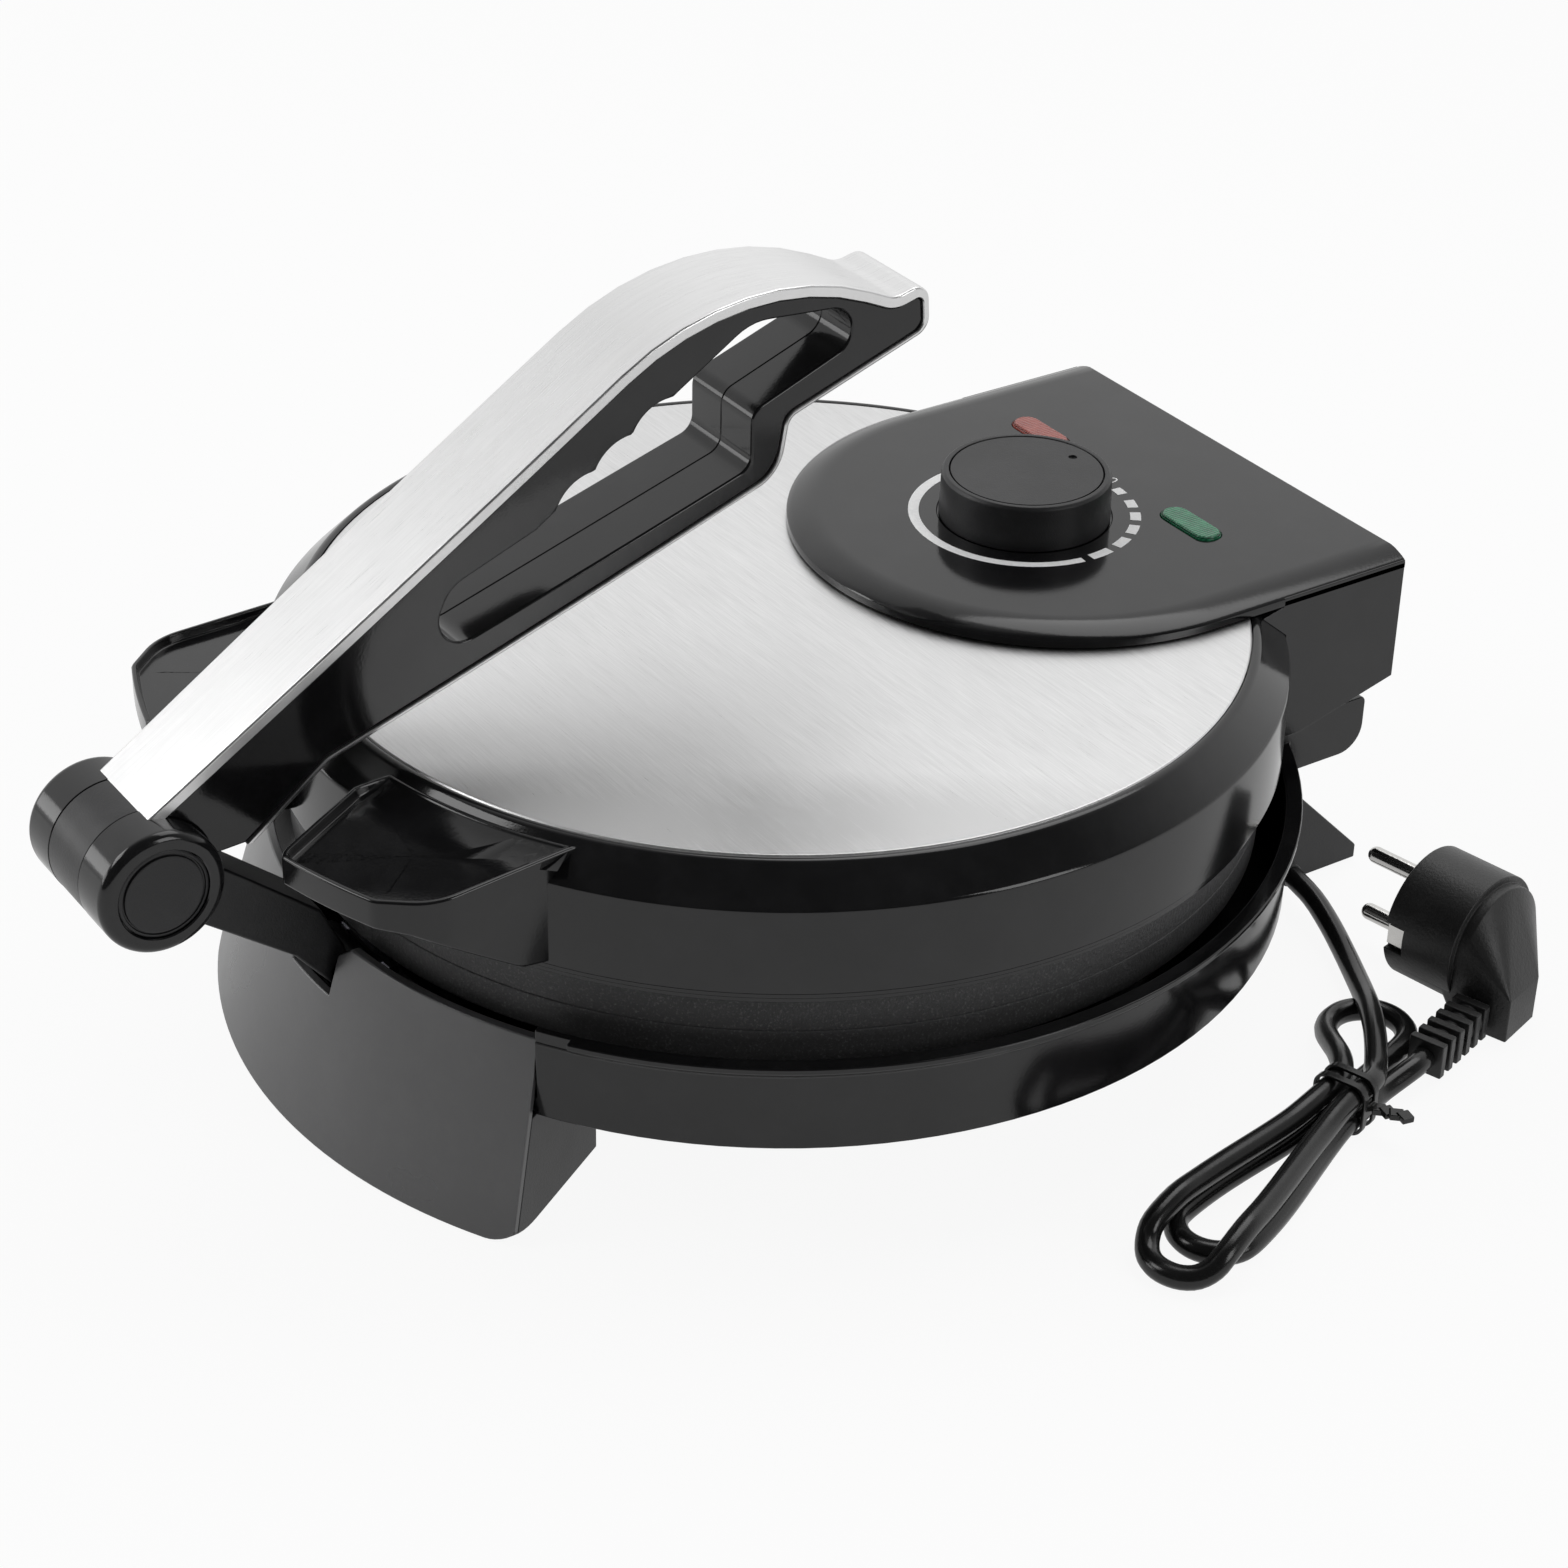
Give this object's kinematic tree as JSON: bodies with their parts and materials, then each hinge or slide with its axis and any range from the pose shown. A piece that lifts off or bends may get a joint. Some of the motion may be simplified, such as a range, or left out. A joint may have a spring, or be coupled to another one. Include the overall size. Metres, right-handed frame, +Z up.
{
  "type": "electric roti maker",
  "caption": "Countertop cooker with round heated plates, a hinged lid, a press handle on a link, a control knob and a tied mains cord.",
  "frame": {"origin": "on the table, under the middle of the appliance's footprint without its cord", "axes": "+Z up, -Y towards the user and the handle's pivot, +Y towards the lid hinge, +X to the user's right"},
  "size_m": [0.3368, 0.3801, 0.2082],
  "materials": {
    "gloss_black": "glossy moulded phenolic with fine mould texture",
    "satin_black": "satin moulded plastic",
    "apron_grey": "satin dark grey lacquer on a pressed cover",
    "rubber": "soft matt rubber",
    "zinc": "zinc-plated steel",
    "coated_plate": "cast plate with a speckled non-stick coating",
    "heater_steel": "dull sheathed heating element",
    "bright_sheet": "thin bright sheet",
    "ceramic": "unglazed ceramic",
    "cord_black": "smooth black cord sheath with a soft sheen",
    "plug_black": "moulded matt black plug",
    "nickel": "bright nickel plating",
    "brushed_steel": "brushed stainless steel, grain across the disc",
    "handle_steel": "satin brushed steel, grain along the handle",
    "lamp_glass": "neon lamp bulb",
    "red_lens": "translucent red lens",
    "green_lens": "translucent green lens",
    "knob_black": "satin black knob"
  },
  "bodies": {
    "base": {"base_shell": "gloss_black", "front_foot": "satin_black", "front_apron": "apron_grey", "rear_foot": "satin_black", "rubber_feet": "rubber", "bottom_cover": "satin_black", "base_screws": "zinc", "lower_plate": "coated_plate", "lower_heater": "heater_steel", "lower_reflector": "bright_sheet", "hinge_pins": "zinc", "link_bracket": "zinc", "link_pin": "zinc", "terminal_block": "ceramic", "cord_grip": "rubber", "cord_lead": "cord_black", "cord_hank": "cord_black", "plug_lead": "cord_black", "cord_tie": "cord_black", "plug_relief": "plug_black", "plug_body": "plug_black", "plug_pins": "nickel", "plug_earth_clips": "nickel"},
    "lid": {"lid_ring": "gloss_black", "steel_disc": "brushed_steel", "lift_tab_left": "gloss_black", "lift_tab_right": "gloss_black", "rear_housing": "gloss_black", "control_panel": "gloss_black", "upper_plate": "coated_plate", "upper_heater": "heater_steel", "upper_reflector": "bright_sheet", "thermostat": "ceramic", "neon_lamps": "lamp_glass", "red_lens": "red_lens", "green_lens": "green_lens", "lid_screws": "zinc"},
    "link": {"link_arm": "satin_black"},
    "handle": {"handle_left_half": "gloss_black", "handle_right_half": "gloss_black", "handle_band": "handle_steel", "pivot_pin": "zinc", "pivot_cap_left": "satin_black", "pivot_cap_right": "satin_black", "handle_screws": "zinc"},
    "knob": {"knob": "knob_black", "knob_cap": "knob_black", "control_shaft": "zinc"}
  },
  "joints": [
    {"name": "lid_hinge", "type": "hinge", "parent": "base", "child": "lid", "pos_m": [0, 0.1643, 0.0833], "axis": [-1, 0, 0], "range_deg": [0, 65]},
    {"name": "link_hinge", "type": "hinge", "parent": "base", "child": "link", "pos_m": [0, -0.117, 0.0435], "axis": [1, 0, 0], "range_deg": [-14, 6]},
    {"name": "handle_hinge", "type": "hinge", "parent": "link", "child": "handle", "pos_m": [0, -0.1727, 0.0933], "axis": [1, 0, 0], "range_deg": [0, 162.5]},
    {"name": "knob_turn", "type": "hinge", "parent": "lid", "child": "knob", "pos_m": [0, 0.1014, 0.12], "axis": [0, 0, -1], "range_deg": [0, 270]}
  ],
  "couplings": [
    {"joint": "handle_hinge", "follows": "lid_hinge", "ratio": 2.5}
  ]
}
